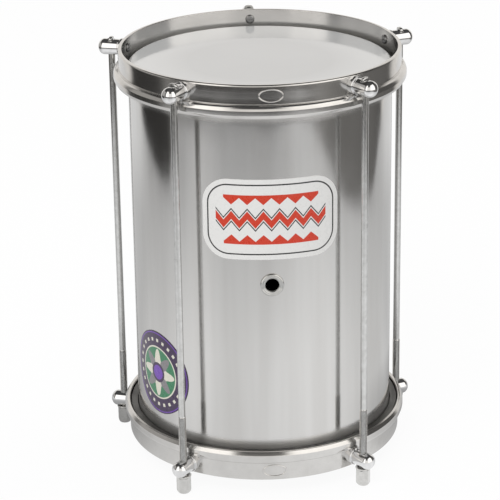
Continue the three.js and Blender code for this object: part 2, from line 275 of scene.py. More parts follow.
def outward_bar(outline: list[Spot], sides: int, level: float, name: str) -> bpy.types.Mesh:
    """Spins an outline about the line that points out of the front.

    Args:
        outline: Points of radius and distance from the drum's axis.
        sides: How many steps make up a turn.
        level: The height of the line.
        name: The mesh's name.

    Returns:
        The mesh.
    """
    mesh = Draft().spin(outline, sides).make(name)
    mesh.transform(Matrix.Translation((0, 0, level)) @ OUTWARD)
    return mesh


def bar_outline(radius: float, low: float, high: float) -> list[Spot]:
    """Outline of a plain bar between two heights or distances."""
    return [(0, low), (radius, low), (radius, high), (0, high)]


def box_mesh(low: Vector, high: Vector) -> bpy.types.Mesh:
    """A block between two corners, to cut with.

    Args:
        low: Its lowest corner.
        high: Its highest corner.

    Returns:
        The mesh.
    """
    corners = ((low.x, low.y), (high.x, low.y), (high.x, high.y), (low.x, high.y))
    rows = [[Vector((x, y, height)) for x, y in corners] for height in (low.z, high.z)]
    draft = Draft().grid(rows, False, True)
    draft.faces += [(3, 2, 1, 0), (4, 5, 6, 7)]
    return draft.make("cutting_block")


def cut(mesh: bpy.types.Mesh, cutters: list[bpy.types.Mesh]) -> bpy.types.Mesh:
    """Cuts closed meshes out of a mesh.

    Args:
        mesh: The mesh that is cut.
        cutters: What is taken out of it.

    Returns:
        The mesh that is left.
    """
    scene = bpy.context.scene.collection.objects
    body = bpy.data.objects.new("being_cut", mesh)
    scene.link(body)
    tools = []
    for cutter in cutters:
        tool = bpy.data.objects.new("cutter", cutter)
        scene.link(tool)
        tools.append(tool)
        step = body.modifiers.new("cut", "BOOLEAN")
        step.operation = "DIFFERENCE"
        step.solver = "EXACT"
        step.object = tool
    graph = bpy.context.evaluated_depsgraph_get()
    result = bpy.data.meshes.new_from_object(body.evaluated_get(graph))
    result.name = mesh.name
    for thing in [body, *tools]:
        bpy.data.objects.remove(thing)
    soften(result)
    return result


class Bench:
    """Short calls for wiring the nodes of one material or world."""

    def __init__(self, holder: bpy.types.ID) -> None:
        """Starts with no nodes.

        Args:
            holder: The new material or world.
        """
        holder.use_nodes = True
        self.holder = holder
        self.tree = holder.node_tree
        self.tree.nodes.clear()

    def feed(self, socket: bpy.types.NodeSocket, value: object) -> None:
        """Links a socket to another, or sets its value.

        Args:
            socket: The socket that is fed.
            value: A socket, or a plain value.
        """
        if isinstance(value, bpy.types.NodeSocket):
            self.tree.links.new(value, socket)
        else:
            socket.default_value = value

    def node(self, kind: str, inputs: dict[str | int, object], **settings: object) -> bpy.types.Node:
        """Adds a node.

        Args:
            kind: The node's type, without its common prefix.
            inputs: What feeds its sockets, by name or number.
            **settings: The node's own settings.

        Returns:
            The node.
        """
        made = self.tree.nodes.new("ShaderNode" + kind)
        for key, value in settings.items():
            setattr(made, key, value)
        for key, value in inputs.items():
            self.feed(made.inputs[key], value)
        return made

    def place(self) -> bpy.types.NodeSocket:
        """The point's place in the drum's frame."""
        return self.node("TexCoord", {}).outputs["Object"]

    def math(self, operation: str, *values: object) -> bpy.types.NodeSocket:
        """One sum, such as COSINE or ABSOLUTE, on numbers or sockets."""
        return self.node("Math", dict(enumerate(values)), operation=operation).outputs[0]

    def plus(self, first: object, second: object) -> bpy.types.NodeSocket:
        """Two values added."""
        return self.math("ADD", first, second)

    def less(self, first: object, second: object) -> bpy.types.NodeSocket:
        """The first value less the second."""
        return self.math("SUBTRACT", first, second)

    def times(self, first: object, second: object) -> bpy.types.NodeSocket:
        """Two values multiplied."""
        return self.math("MULTIPLY", first, second)

    def off(self, value: object, middle: object) -> bpy.types.NodeSocket:
        """How far a value is from a middle, on either side."""
        return self.math("ABSOLUTE", self.less(value, middle))

    def length(self, x: object, y: object) -> bpy.types.NodeSocket:
        """The length of a flat line with these two legs."""
        return self.math("SQRT", self.plus(self.times(x, x), self.times(y, y)))

    def azimuth(self, x: object, y: object) -> bpy.types.NodeSocket:
        """The azimuth in radians from the front, turning towards +X."""
        return self.math("ARCTAN2", x, self.times(y, -1.0))

    def turn_share(self, x: object, y: object) -> bpy.types.NodeSocket:
        """The share of a turn, from azimuth -180 to 180 degrees."""
        return self.remap(self.azimuth(x, y), -math.pi, math.pi)

    def parts(self, vector: bpy.types.NodeSocket) -> list[bpy.types.NodeSocket]:
        """The three coordinates of a vector."""
        return list(self.node("SeparateXYZ", {0: vector}).outputs)

    def stretch(self, vector: object, scales: Corner) -> bpy.types.NodeSocket:
        """A vector scaled along each axis."""
        return self.node("Mapping", {"Vector": vector, "Scale": scales}).outputs[0]

    def noise(
        self, vector: object, scale: float, detail: float, roughness: float = 0.5
    ) -> bpy.types.NodeSocket:
        """Noise between 0 and 1 at a number of waves per metre."""
        inputs = {"Vector": vector, "Scale": scale, "Detail": detail, "Roughness": roughness}
        return self.node("TexNoise", inputs).outputs[0]

    def remap(
        self, value: object, low: float, high: float, to_low: object = 0, to_high: object = 1
    ) -> bpy.types.NodeSocket:
        """A value moved from one range into another and held inside it."""
        inputs = {"Value": value, "From Min": low, "From Max": high, "To Min": to_low, "To Max": to_high}
        return self.node("MapRange", inputs).outputs[0]

    def blend(self, share: object, first: object, second: object) -> bpy.types.NodeSocket:
        """A colour between two, by a share."""
        return self.node("Mix", {0: share, 6: first, 7: second}, data_type="RGBA").outputs[2]

    def ring(self, share: object, stops: Stops, tint: Corner = (1, 1, 1)) -> bpy.types.NodeSocket:
        """A level that changes round a turn.

        Args:
            share: The share of the turn, from azimuth -180 to 180 degrees.
            stops: Pairs of azimuth in degrees and level.
            tint: What the level is multiplied by in red, green and blue.

        Returns:
            The level.
        """
        ramp = self.node("ValToRGB", {0: share})
        band = ramp.color_ramp
        while len(band.elements) < len(stops):
            band.elements.new(0.5)
        for element, (degrees, level) in zip(band.elements, stops):
            element.position = 0.5 + degrees / 360
            element.color = (level * tint[0], level * tint[1], level * tint[2], 1)
        return ramp.outputs[0]

    def bump(self, height: object, depth: float, strength: float) -> bpy.types.NodeSocket:
        """A normal that follows a height."""
        return self.node("Bump", {"Height": height, "Distance": depth, "Strength": strength}).outputs[0]

    def finish(self, **inputs: object) -> bpy.types.Material:
        """Ends a material with the standard surface shader.

        Args:
            **inputs: The shader's sockets, with underscores for spaces.

        Returns:
            The material.
        """
        sockets = {key.replace("_", " "): value for key, value in inputs.items()}
        surface = self.node("BsdfPrincipled", sockets)
        self.node("OutputMaterial", {0: surface.outputs[0]})
        return self.holder


@dataclass(frozen=True)
class Metal:
    """What the metal finishes share.

    A pair is the range of a noise over which a change comes in. Waves are counted per metre.
    """

    name: str
    colour: Colour
    shade: Colour
    gloss: float
    haze: float
    groove: float
    hazy: Spot
    shaded: Spot
    depth: float
    strength: float

    def bench(self) -> Bench:
        """A bench for the new material."""
        return Bench(bpy.data.materials.new(self.name))

    def surface(
        self, bench: Bench, marks: object, tints: object, lines: object, relief: object, dull: object = 0.0
    ) -> bpy.types.Material:
        """Ends the material.

        Args:
            bench: The material's bench.
            marks: The noise that makes it hazy.
            tints: The noise that shades it.
            lines: The noise that roughens it finely.
            relief: The height that its normal follows.
            dull: More roughness.

        Returns:
            The material.
        """
        hazy = bench.times(bench.remap(marks, *self.hazy), self.haze)
        rough = bench.plus(bench.plus(hazy, self.gloss), bench.times(lines, self.groove))
        rough = bench.plus(rough, dull)
        tone = bench.blend(bench.remap(tints, *self.shaded), self.colour, self.shade)
        normal = bench.bump(relief, self.depth, self.strength)
        return bench.finish(Base_Color=tone, Metallic=1.0, Roughness=rough, Normal=normal)


@dataclass(frozen=True)
class RolledSheet(Metal):
    """Bright rolled aluminium sheet, with faint upright rolling lines and handling haze."""

    name: str = "rolled_sheet"
    colour: Colour = (0.66, 0.655, 0.645, 1)
    shade: Colour = (0.60, 0.592, 0.58, 1)
    gloss: float = 0.085
    haze: float = 0.06
    groove: float = 0.03
    hazy: Spot = (0.35, 0.7)
    shaded: Spot = (0.35, 0.65)
    depth: float = 0.02 * MM
    strength: float = 0.35
    dull_start: float = 125 * MM
    dull_end: float = 133 * MM
    dullness: float = 0.34
    line_waves: Corner = (1100, 1100, 9)
    line_relief: float = 0.25
    band_waves: Corner = (60, 60, 3)
    cloud_waves: float = 22

    def material(self) -> bpy.types.Material:
        """Builds the material, duller near the ends, where the polishing wheel doesn't reach.

        Returns:
            The material.
        """
        bench = self.bench()
        place = bench.place()
        off_middle = bench.off(bench.parts(place)[2], -SIZES.head_span / 2)
        dull = bench.remap(off_middle, self.dull_start, self.dull_end, 0, self.dullness)
        lines = bench.noise(bench.stretch(place, self.line_waves), 1, 2)
        bands = bench.noise(bench.stretch(place, self.band_waves), 1, 2)
        clouds = bench.noise(place, self.cloud_waves, 4, 0.6)
        relief = bench.plus(bench.times(lines, self.line_relief), bands)
        return self.surface(bench, clouds, bands, lines, relief, dull)


@dataclass(frozen=True)
class TurnedAlloy(Metal):
    """Aluminium polished while it turned, with fine lines that run round it."""

    name: str = "turned_alloy"
    colour: Colour = (0.66, 0.65, 0.635, 1)
    shade: Colour = (0.58, 0.57, 0.555, 1)
    gloss: float = 0.10
    haze: float = 0.08
    groove: float = 0.05
    hazy: Spot = (0.3, 0.75)
    shaded: Spot = (0.4, 0.7)
    depth: float = 0.015 * MM
    strength: float = 0.4
    line_waves: float = 1500
    cloud_waves: float = 35

    def material(self) -> bpy.types.Material:
        """Builds the material.

        Returns:
            The material.
        """
        bench = self.bench()
        place = bench.place()
        x, y, z = bench.parts(place)
        round_axis = bench.node("CombineXYZ", {0: bench.length(x, y), 1: 0.0, 2: z}).outputs[0]
        lines = bench.noise(round_axis, self.line_waves, 3, 0.6)
        clouds = bench.noise(place, self.cloud_waves, 4, 0.6)
        return self.surface(bench, clouds, clouds, lines, lines)


@dataclass(frozen=True)
class BrightPlate(Metal):
    """Bright plating on small turned fittings, with a trace of fingermarks."""

    name: str = "chrome_plate"
    colour: Colour = (0.78, 0.78, 0.785, 1)
    shade: Colour = (0.70, 0.70, 0.70, 1)
    gloss: float = 0.04
    haze: float = 0.10
    groove: float = 0.02
    hazy: Spot = (0.5, 0.8)
    shaded: Spot = (0.35, 0.7)
    depth: float = 0.01 * MM
    strength: float = 0.3
    mark_waves: float = 260
    line_waves: Corner = (2600, 2600, 700)

    def material(self) -> bpy.types.Material:
        """Builds the material.

        Returns:
            The material.
        """
        bench = self.bench()
        place = bench.place()
        marks = bench.noise(place, self.mark_waves, 4, 0.65)
        lines = bench.noise(bench.stretch(place, self.line_waves), 1, 2)
        return self.surface(bench, marks, marks, lines, lines)


@dataclass(frozen=True)
class MilkyFilm:
    """Milky polyester film: a pale translucent body under a clear hard gloss, painted lighter towards the rim
    as painted light.
    """

    colour: Colour = (0.385, 0.385, 0.382, 1)
    shade: Colour = (0.37, 0.37, 0.367, 1)
    shaded: Spot = (0.3, 0.7)
    rim_painted_light_colour: Colour = (0.50, 0.50, 0.495, 1)
    painted_light_start: float = 55 * MM
    painted_light_end: float = 98 * MM
    gloss: float = 0.07
    haze: float = 0.06
    bending: float = 1.68
    coat: float = 0.35
    coat_gloss: float = 0.05
    cloud_waves: float = 14
    grain_waves: float = 1400
    depth: float = 0.01 * MM
    strength: float = 0.15

    def material(self) -> bpy.types.Material:
        """Builds the material.

        Returns:
            The material.
        """
        bench = Bench(bpy.data.materials.new("milky_film"))
        place = bench.place()
        clouds = bench.noise(place, self.cloud_waves, 3)
        grain = bench.noise(place, self.grain_waves, 2)
        radius = bench.length(*bench.parts(place)[:2])
        tone = bench.blend(bench.remap(clouds, *self.shaded), self.colour, self.shade)
        # Painted light: the film is painted lighter towards the rim, brightening the edge that the hoop's
        # wall shades.
        tone = bench.blend(bench.remap(radius, self.painted_light_start, self.painted_light_end), tone, self.rim_painted_light_colour)
        return bench.finish(
            Base_Color=tone,
            Roughness=bench.plus(bench.times(clouds, self.haze), self.gloss),
            IOR=self.bending,
            Coat_Weight=self.coat,
            Coat_Roughness=self.coat_gloss,
            Normal=bench.bump(grain, self.depth, self.strength),
        )


@dataclass(frozen=True)
class PrintedVinyl:
    """A printed vinyl label with a plain geometric design.

    The design's sizes are bare millimetres from the label's middle. A pair is the near and far edge
    of a band, and the border's middle is where its corners' rounds are centred.
    """

    which: Print
    level: float
    azimuth: float
    paper: Colour = (0.775, 0.77, 0.755, 1)
    ink: Colour = (0.012, 0.012, 0.013, 1)
    red: Colour = (0.60, 0.035, 0.008, 1)
    purple: Colour = (0.035, 0.012, 0.06, 1)
    violet: Colour = (0.16, 0.05, 0.42, 1)
    green: Colour = (0.03, 0.20, 0.09, 1)
    cream: Colour = (0.72, 0.70, 0.60, 1)
    grey: Colour = (0.22, 0.21, 0.22, 1)
    gloss: float = 0.22
    haze: float = 0.12
    coat: float = 0.3
    coat_gloss: float = 0.12
    scuff_waves: float = 300
    scuffed: Spot = (0.62, 0.8)
    scuffing: float = 0.12
    depth: float = 0.02 * MM
    strength: float = 0.2
    soft_edge: float = 0.12
    beyond: float = 60
    band_reach: float = 42
    band_half: float = 3.2
    band_edges: Spot = (4.3, 5.6)
    wave_run: float = 6
    wave_slope: float = 1.2
    tooth_slope: float = 0.9
    tooth_start: float = 17.2
    teeth_level: float = 19.4
    teeth_reach: float = 36
    border_middle: Spot = (32.5, 11.5)
    border: Spot = (15.2, 16.3)
    petals_count: int = 8
    petal_middle: float = 15.5
    petal_swing: float = 4.2
    hub: float = 8.2
    hub_middle: float = 6
    inner_ring: Spot = (20.6, 21.8)
    dots: int = 24
    dot_ring: Spot = (25.6, 28.2)
    dot_gap: float = 0.35
    outer_ring: Spot = (32.2, 33)

    def inside(self, bench: Bench, value: object, low: float, high: float) -> bpy.types.NodeSocket:
        """One where a value lies between two limits, with soft edges.

        Args:
            bench: The material's bench.
            value: The value in millimetres.
            low: The lower limit.
            high: The upper limit.

        Returns:
            The mask.
        """
        edge = self.soft_edge
        over = bench.remap(value, low - edge, low + edge)
        return bench.times(over, bench.remap(value, high - edge, high + edge, 1, 0))

    def within(self, bench: Bench, value: object, reach: float) -> bpy.types.NodeSocket:
        """One where a value that is never negative lies under a limit."""
        return self.inside(bench, value, -1, reach)

    def material(self) -> bpy.types.Material:
        """Builds the material, with its design laid along the shell's wall.

        Returns:
            The material.
        """
        bench = Bench(bpy.data.materials.new(self.which.value.replace(" ", "_") + "_vinyl"))
        place = bench.place()
        x, y, z = bench.parts(place)
        across = bench.times(bench.less(bench.azimuth(x, y), self.azimuth), SIZES.shell_radius / MM)
        up = bench.times(bench.less(z, self.level), 1 / MM)
        drawn = self.chevrons if self.which is Print.FRONT_LABEL else self.petals
        scuffs = bench.noise(place, self.scuff_waves, 4, 0.6)
        worn = bench.remap(scuffs, *self.scuffed, 0, self.scuffing)
        return bench.finish(
            Base_Color=bench.blend(worn, drawn(bench, across, up), self.paper),
            Roughness=bench.plus(bench.times(scuffs, self.haze), self.gloss),
            Coat_Weight=self.coat,
            Coat_Roughness=self.coat_gloss,
            Normal=bench.bump(scuffs, self.depth, self.strength),
        )

    def chevrons(self, bench: Bench, across: object, up: object) -> bpy.types.NodeSocket:
        """The front label: a zigzag band between two rows of triangles, inside a thin frame.

        Args:
            bench: The material's bench.
            across: Millimetres across from the middle.
            up: Millimetres up from the middle.

        Returns:
            The colour.
        """
        side = bench.math("ABSOLUTE", across)
        rise = bench.math("ABSOLUTE", up)
        wave = bench.math("PINGPONG", bench.plus(across, self.beyond), self.wave_run)
        ridge = bench.less(bench.times(wave, self.wave_slope), self.wave_slope * self.wave_run / 2)
        offset = bench.less(up, ridge)
        inner = self.within(bench, side, self.band_reach)
        zigzag = bench.times(self.inside(bench, offset, -self.band_half, self.band_half), inner)
        edges = bench.times(self.inside(bench, bench.math("ABSOLUTE", offset), *self.band_edges), inner)
        tooth = bench.plus(rise, bench.times(wave, self.tooth_slope))
        teeth = self.inside(bench, tooth, self.tooth_start, self.beyond)
        teeth = bench.times(teeth, self.within(bench, rise, self.teeth_level))
        teeth = bench.times(teeth, self.within(bench, side, self.teeth_reach))
        legs = [
            bench.math("MAXIMUM", bench.less(value, middle), 0.0)
            for value, middle in zip((side, rise), self.border_middle)
        ]
        border = self.inside(bench, bench.length(*legs), *self.border)
        tone = self.paper
        for mask, colour in ((zigzag, self.red), (edges, self.ink), (teeth, self.red), (border, self.ink)):
            tone = bench.blend(mask, tone, colour)
        return tone

    def petals(self, bench: Bench, across: object, up: object) -> bpy.types.NodeSocket:
        """The side sticker: eight petals round a hub, inside rings.

        Args:
            bench: The material's bench.
            across: Millimetres across from the middle.
            up: Millimetres up from the middle.

        Returns:
            The colour.
        """

        def waves(count: float) -> bpy.types.NodeSocket:
            """A number of waves round the sticker."""
            return bench.math("COSINE", bench.times(angle, count))

        radius = bench.length(across, up)
        angle = bench.math("ARCTAN2", up, across)
        petal_edge = bench.plus(bench.times(waves(self.petals_count), self.petal_swing), self.petal_middle)
        petal = self.inside(bench, bench.less(petal_edge, radius), 0, self.beyond)
        other = self.inside(bench, waves(self.petals_count / 2), 0, 2)
        dots = self.inside(bench, waves(self.dots), self.dot_gap, 2)
        ground = self.inside(bench, radius, self.inner_ring[1], self.beyond)
        tone = self.green
        for mask, colour in (
            (petal, bench.blend(other, self.grey, self.cream)),
            (self.within(bench, radius, self.hub), self.purple),
            (self.within(bench, radius, self.hub_middle), self.violet),
            (self.inside(bench, radius, *self.inner_ring), self.cream),
            (ground, self.purple),
            (bench.times(self.inside(bench, radius, *self.dot_ring), dots), self.cream),
            (self.inside(bench, radius, *self.outer_ring), self.violet),
        ):
            tone = bench.blend(mask, tone, colour)
        return tone


@dataclass(frozen=True)
class StudioFloor:
    """The pale floor: it stays near white for the camera, keeps the drum's shadow, and dims away from it.

    Metal mirrors a painted glow of it: painted light, brighter or dimmer by the azimuth in degrees, as a lit
    table is, with painted shade close to the drum's foot at the sides and back. For diffuse rays it also
    glows, a painted bounce of light onto the drum. Distances are from the drum's axis, and a pair is a range
    over which a change comes in.
    """

    colour: Colour = (0.8, 0.8, 0.8, 1)
    levels: Stops = (
        (-180, 0.66), (-95, 0.70), (-72, 0.88), (-52, 0.97), (-38, 0.82), (-22, 0.82),
        (-5, 0.85), (20, 0.95), (47, 1.0), (72, 0.82), (105, 0.69), (180, 0.66),
    )
    far_levels: Stops = (
        (-180, 0.60), (-95, 0.56), (-77, 0.48), (-70, 0.45), (-62, 0.63), (-55, 0.66),
        (-48, 0.63), (-41, 0.55), (-33, 0.47), (-20, 0.47), (-6, 0.53), (6, 0.50),
        (19, 0.62), (28, 0.64), (37, 0.67), (47, 0.69), (62, 0.62), (180, 0.60),
    )
    far: Spot = (0.35, 0.85)
    rear: Spot = (0.62, 0.86)
    rear_levels: Spot = (0.5, 0.74)
    rear_turn: Spot = (0.31, 0.36)
    side_turn: Spot = (0.12, 0.34)
    side_shade: float = 0.82
    foot: Spot = (0.14, 0.24)
    mirrored_share: float = 0.90
    mirrored_least: float = 0.15
    bounce: float = 0.55
    glow_share: float = 0.93
    grain_waves: float = 180
    depth: float = 0.1 * MM
    strength: float = 0.2

    def mirrored(self, bench: Bench, place: bpy.types.NodeSocket) -> bpy.types.NodeSocket:
        """How bright metal mirrors the floor.

        Args:
            bench: The material's bench.
            place: The point's place.

        Returns:
            The level.
        """
        x, y = bench.parts(place)[:2]
        away = bench.length(x, y)
        share = bench.turn_share(x, y)
        near = bench.remap(away, *self.far, 1.0, bench.ring(share, self.far_levels))
        front = bench.times(near, bench.ring(share, self.levels))
        # Painted shade: behind the drum the mirrored floor is darker nearer to it.
        rear = bench.remap(away, *self.rear, *self.rear_levels)
        turned = bench.off(share, 0.5)
        # Painted shade: at the sides and back the mirrored floor darkens at the drum's foot.
        aside = bench.remap(turned, *self.side_turn, 0, self.side_shade)
        shade = bench.less(1.0, bench.times(aside, bench.remap(away, *self.foot, 1, 0)))
        level = bench.times(bench.remap(bench.remap(turned, *self.rear_turn), 0, 1, front, rear), shade)
        return bench.plus(bench.times(level, self.mirrored_share), self.mirrored_least)

    def material(self) -> bpy.types.Material:
        """Builds the material.

        Returns:
            The material.
        """
        bench = Bench(bpy.data.materials.new("studio_floor"))
        place = bench.place()
        rays = bench.node("LightPath", {}).outputs
        mirrored = bench.times(rays["Is Glossy Ray"], self.mirrored(bench, place))
        level = bench.plus(bench.plus(rays["Is Camera Ray"], mirrored), rays["Is Transmission Ray"])
        # Painted light: for diffuse rays the floor glows, a painted bounce of light onto the drum.
        level = bench.plus(level, bench.times(rays["Is Diffuse Ray"], self.bounce))
        normal = bench.bump(bench.noise(place, self.grain_waves, 3, 0.6), self.depth, self.strength)
        lit = bench.node("BsdfDiffuse", {"Color": self.colour, "Normal": normal})
        glow = bench.node("Emission", {"Color": WHITE, "Strength": level})
        mixed = bench.node("MixShader", {0: self.glow_share, 1: lit.outputs[0], 2: glow.outputs[0]})
        bench.node("OutputMaterial", {0: mixed.outputs[0]})
        return bench.holder


class Finishes:
    """The finishes, each built once."""

    def __init__(self) -> None:
        """Builds them all."""
        self.sheet = RolledSheet().material()
        self.hoop = TurnedAlloy().material()
        # Painted shade: the mill alloy is made near black, standing in for the shade deep in the gap between
        # each skirt and the shell, where the flesh hoops sit.
        mill_painted_shade = TurnedAlloy("mill_alloy_painted_shade", (0.17, 0.17, 0.165, 1), (0.12, 0.12, 0.118, 1), 0.30, 0.15)
        self.mill_painted_shade = mill_painted_shade.material()
        self.chrome = BrightPlate().material()
        self.rod, self.nut, self.eyelet, self.steel_painted_shade = (
            BrightPlate(*recipe).material()
            for recipe in (
                ("zinc_plate", (0.66, 0.66, 0.655, 1), (0.56, 0.56, 0.55, 1), 0.16, 0.12, 0.06),
                ("bright_nickel", (0.66, 0.655, 0.64, 1), (0.56, 0.555, 0.54, 1), 0.10, 0.12, 0.05),
                ("dull_nickel", (0.52, 0.52, 0.51, 1), (0.44, 0.44, 0.43, 1), 0.13, 0.1, 0.05),
                # Dull steel, its colour darkened in part as painted shade for the screws inside the band.
                ("dull_steel_painted_shade", (0.30, 0.30, 0.30, 1), (0.22, 0.22, 0.22, 1), 0.22, 0.2, 0.05),
            )
        )
        self.film = MilkyFilm().material()
        self.floor = StudioFloor().material()


@dataclass
class Maker:
    """What every sub-assembly needs to put its pieces on the drum."""

    finishes: Finishes

    def add(
        self,
        name: str,
        mesh: bpy.types.Mesh,
        material: bpy.types.Material,
        body: str,
        nodes: list[str],
        slot: str,
    ) -> bpy.types.Object:
        """Puts one piece on the drum.

        Args:
            name: The piece's name.
            mesh: Its mesh, in the drum's frame.
            material: Its finish.
            body: The body that it rides on.
            nodes: The solids that it stands for.
            slot: The record's material slot; not used.

        Returns:
            The piece.
        """
        mesh.name = name
        mesh.materials.clear()
        mesh.materials.append(material)
        piece = bpy.data.objects.new(name, mesh)
        bpy.context.scene.collection.objects.link(piece)
        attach(piece, body)
        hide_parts(*nodes)
        LOG.info("%s: %d faces on %s", name, len(mesh.polygons), body)
        return piece


@dataclass
class Shell(Maker):
    """The aluminium shell: a tube with rolled edges and a hole for the vent."""

    wall: float = 1.2 * MM
    roll: float = 3 * MM
    lip_radius: float = 95.1 * MM
    lip_round: float = 0.5 * MM
    lip_inner_round: float = 0.4 * MM
    edge_level: float = -0.6 * MM
    vent_hole: float = 5.9 * MM
    cut_past: float = 5 * MM
    longest_run: float = 8 * MM
    bend_steps: int = 8
    hole_sides: int = 40

    def build(self) -> None:
        """Builds the tube and its vent hole."""
        outer = SIZES.shell_radius
        inner = outer - self.wall
        top = self.edge_level
        low = -SIZES.head_span - self.edge_level
        outline = rounded(
            [
                (outer, low, self.roll),
                (outer, top, self.roll),
                (self.lip_radius, top, self.lip_round),
                (self.lip_radius, top - self.wall, self.lip_inner_round),
                (inner, top - self.wall, self.roll - self.wall),
                (inner, low + self.wall, self.roll - self.wall),
                (self.lip_radius, low + self.wall, self.lip_inner_round),
                (self.lip_radius, low, self.lip_round),
            ],
            self.bend_steps,
        )
        tube = Draft().spin(stepped(outline, self.longest_run), SIZES.ring_sides).make("shell_tube")
        bar = bar_outline(self.vent_hole, inner - self.cut_past, outer + self.cut_past)
        hole = outward_bar(bar, self.hole_sides, SIZES.vent_level, "hole")
        self.add("shell_tube", cut(tube, [hole]), self.finishes.sheet, "shell_body", ["shell"], "shell")


@dataclass
class Vent(Maker):
    """The eyelet round the vent, and the clinch washer inside the shell.

    Each of the ridges' corners is an inset from the flange's edge, a drop below its face, and a round.
    """

    bore: float = 4.8 * MM
    barrel: float = 5.6 * MM
    flange: float = 9 * MM
    flange_back: float = 100.9 * MM
    face: float = 103.3 * MM
    lip: float = 7 * MM
    lip_near: float = 97.0 * MM
    lip_thickness: float = 0.8 * MM
    washer_inner: float = 5.9 * MM
    washer_outer: float = 8.5 * MM
    washer_near: float = 98.4 * MM
    washer_thickness: float = 1 * MM
    soft: float = 0.3 * MM
    fine: float = 0.1 * MM
    sides: int = 64
    bend_steps: int = 6
    ridges: tuple[Corner, ...] = (
        (0, 0.5 * MM, 0.9 * MM),
        (1.0 * MM, 0, 0.4 * MM),
        (1.6 * MM, 0.3 * MM, 0.3 * MM),
        (2.3 * MM, 0.1 * MM, 0.3 * MM),
        (2.9 * MM, 0.4 * MM, 0.3 * MM),
        (3.5 * MM, 0.3 * MM, 0.4 * MM),
        (4.2 * MM, 1.3 * MM, 0.5 * MM),
    )

    def build(self) -> None:
        """Builds the eyelet, whose face has fine ridges, and its washer."""
        lip_far = self.lip_near + self.lip_thickness
        face = [(self.flange - inset, self.face - drop, bend) for inset, drop, bend in self.ridges]
        eyelet = [
            (self.bore, self.lip_near, self.soft),
            (self.lip, self.lip_near, self.soft),
            (self.lip, lip_far, 2 * self.fine),
            (self.barrel, lip_far, 2 * self.fine),
            (self.barrel, self.flange_back, 0),
            (self.flange, self.flange_back, self.fine),
            *face,
        ]
        mesh = outward_bar(rounded(eyelet, self.bend_steps), self.sides, SIZES.vent_level, "eyelet")
        self.add("vent_eyelet", mesh, self.finishes.eyelet, "shell_body", ["vent_grommet"], "fittings")
        near, far = self.washer_near, self.washer_near + self.washer_thickness
        ring = [
            (self.washer_inner, near, self.fine),
            (self.washer_outer, near, 2 * self.fine),
            (self.washer_outer, far, 2 * self.fine),
            (self.washer_inner, far, self.fine),
        ]
        mesh = outward_bar(rounded(ring), self.sides, SIZES.vent_level, "clinch_washer")
        nodes = ["vent_grommet_washer"]
        # The clinch washer takes the same near-black finish, painted shade inside the shell.
        self.add("vent_clinch_washer", mesh, self.finishes.mill_painted_shade, "shell_body", nodes, "fittings")


@dataclass
class Labels(Maker):
    """The printed front label and the round side sticker, laid on the curved wall."""

    label_level: float = -93.9 * MM
    label_half_width: float = 52.5 * MM
    label_half_height: float = 31.5 * MM
    label_corner: float = 20 * MM
    sticker_level: float = -234.7 * MM
    sticker_azimuth: float = math.radians(-58)
    sticker_radius: float = 34 * MM
    thickness: float = 0.35 * MM
    sink: float = 0.05 * MM
    rows: int = 48
    columns: int = 72
    sharp_degrees: float = 50

    def patch(self, name: str, halves: list[Spot], level: float, azimuth: float) -> bpy.types.Mesh:
        """A thin skin laid round the wall.

        Args:
            name: The mesh's name.
            halves: Each row's height from the patch's middle, and half its width along the wall.
            level: The height of its middle.
            azimuth: The azimuth of its middle, in radians.

        Returns:
            The mesh.
        """
        back = SIZES.shell_radius - self.sink
        front = SIZES.shell_radius + self.thickness
        shares = [2 * column / self.columns - 1 for column in range(self.columns + 1)]
        loops = []
        for height, width in halves:
            turns = [azimuth + width * share / SIZES.shell_radius for share in shares]
            outer, inner = (
                [Vector((reach * math.sin(turn), -reach * math.cos(turn), level + height)) for turn in turns]
                for reach in (front, back)
            )
            loops.append(outer + inner[::-1])
        draft = Draft().grid(loops, False, True)
        size = len(loops[0])
        for start in (0, (len(loops) - 1) * size):
            for column in range(self.columns):
                far = size - 1 - column
                draft.faces.append((start + column, start + column + 1, start + far - 1, start + far))
        return draft.make(name, self.sharp_degrees)

    def build(self) -> None:
        """Builds both."""
        label, sticker = [], []
        for row in range(self.rows + 1):
            angle = math.pi * row / self.rows
            height = -self.label_half_height * math.cos(angle)
            above = max(0.0, abs(height) - (self.label_half_height - self.label_corner))
            round_in = self.label_corner - math.sqrt(max(0.0, self.label_corner**2 - above**2))
            label.append((height, self.label_half_width - round_in))
            sticker.append((-self.sticker_radius * math.cos(angle), self.sticker_radius * math.sin(angle)))
        front = (self.label_level, 0.0)
        side = (self.sticker_level, self.sticker_azimuth)
        for name, halves, which, spot, node, slot in (
            ("front_label", label, Print.FRONT_LABEL, front, "shell_label", "label"),
            ("round_sticker", sticker, Print.SIDE_STICKER, side, "side_sticker", "sticker"),
        ):
            mesh = self.patch(name, halves, *spot)
            vinyl = PrintedVinyl(which, *spot).material()
            self.add(name, mesh, vinyl, "shell_body", [node], slot)


